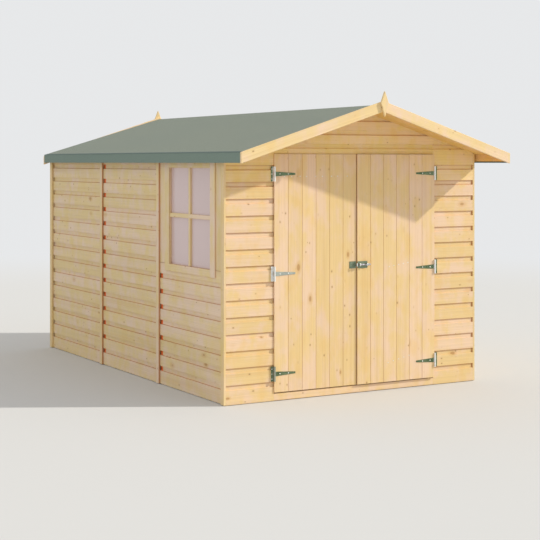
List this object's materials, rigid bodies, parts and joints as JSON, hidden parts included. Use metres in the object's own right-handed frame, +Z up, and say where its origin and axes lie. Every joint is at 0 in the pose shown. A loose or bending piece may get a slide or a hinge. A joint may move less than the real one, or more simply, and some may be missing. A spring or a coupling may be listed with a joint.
{
  "type": "wooden garden shed",
  "caption": "Apex wooden garden shed with horizontal boards, double ledged doors on tee hinges, a side window and a felt roof.",
  "frame": {"origin": "on the ground under the middle of the four walls, at the underside of the middle floor bearer", "axes": "+Z up, -Y out of the front gable with the doors, -X out of the wall with the window"},
  "size_m": [2.152, 3.556, 2.0488],
  "materials": {
    "pine": "planed, dip treated honey pine",
    "treated_timber": "sawn, pressure treated",
    "felt": "mineral green roofing felt",
    "glazing": "clear pane",
    "zinc": "zinc plated steel"
  },
  "bodies": {
    "shed": {"barge_boards_left": "pine", "barge_boards_right": "pine", "corner_strips": "pine", "door_head": "pine", "door_posts": "pine", "door_sill": "treated_timber", "eaves_boards": "pine", "eaves_felt": "felt", "end_wall_rails": "pine", "end_wall_studs": "pine", "finials": "pine", "floor_bearers": "treated_timber", "floor_deck": "pine", "front_gable": "pine", "front_wall_left": "pine", "front_wall_right": "pine", "hinge_plates_left": "zinc", "hinge_plates_right": "zinc", "joint_strips": "pine", "left_wall_panels": "pine", "rear_wall_panels": "pine", "ridge_beam": "pine", "right_wall_panels": "pine", "roof_boards_left": "pine", "roof_boards_right": "pine", "roof_felt_left": "felt", "roof_felt_right": "felt", "roof_purlins": "pine", "side_wall_rails": "pine", "side_wall_studs": "pine", "window_cill_rail": "pine", "window_glass": "glazing", "window_rails": "pine", "window_stiles": "pine", "window_wall_above": "pine", "window_wall_below": "pine", "window_wall_beside": "pine"},
    "door_left": {"door_left_boards": "pine", "door_left_ledges": "pine", "door_left_braces": "pine", "door_left_straps": "zinc", "bolt_keep": "zinc"},
    "door_right": {"door_right_boards": "pine", "door_right_ledges": "pine", "door_right_braces": "pine", "door_right_straps": "zinc", "bolt_plate": "zinc"},
    "bolt": {"bolt_rod": "zinc"}
  },
  "joints": [
    {"name": "door_left_hinge", "type": "hinge", "parent": "shed", "child": "door_left", "pos_m": [-0.651, -1.602, 0.841], "axis": [0, 0, -1], "range_deg": [0, 110]},
    {"name": "door_right_hinge", "type": "hinge", "parent": "shed", "child": "door_right", "pos_m": [0.651, -1.612, 0.841], "axis": [0, 0, 1], "range_deg": [0, 110]},
    {"name": "bolt_slide", "type": "slide", "parent": "door_right", "child": "bolt", "axis": [-1, 0, 0], "range_m": [0, 0.028]}
  ]
}
